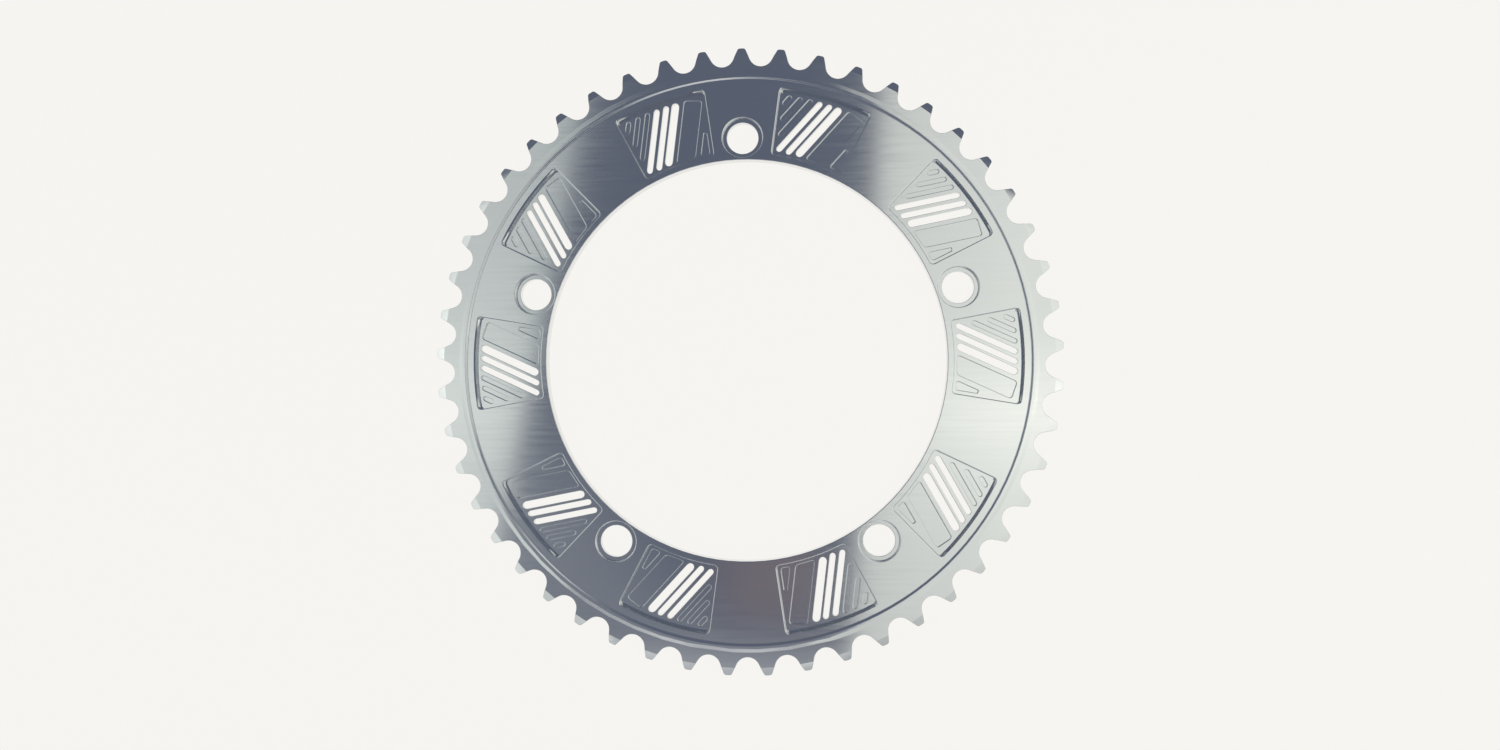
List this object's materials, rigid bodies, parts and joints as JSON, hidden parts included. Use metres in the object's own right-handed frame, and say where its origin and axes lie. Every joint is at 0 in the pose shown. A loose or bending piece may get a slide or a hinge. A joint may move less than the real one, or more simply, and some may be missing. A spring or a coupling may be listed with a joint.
{
  "type": "bicycle chainring",
  "caption": "Flat machined aluminium track chainring with bevelled teeth, a raised rim, slotted lightening pockets and counterbored holes for the bolts of a crank spider.",
  "frame": {"origin": "centre of the bore at the back face, on the axis of the ring", "axes": "+Z along the axis, out of the front face with the counterbores; +Y through the bolt hole that has a tooth in line with it; +X to the right of that, seen from the front"},
  "size_m": [0.2024, 0.2023, 0.0044],
  "materials": {
    "satin_aluminium": "fine brushed satin, clear"
  },
  "bodies": {
    "root": {"chainring": "satin_aluminium"}
  },
  "joints": []
}
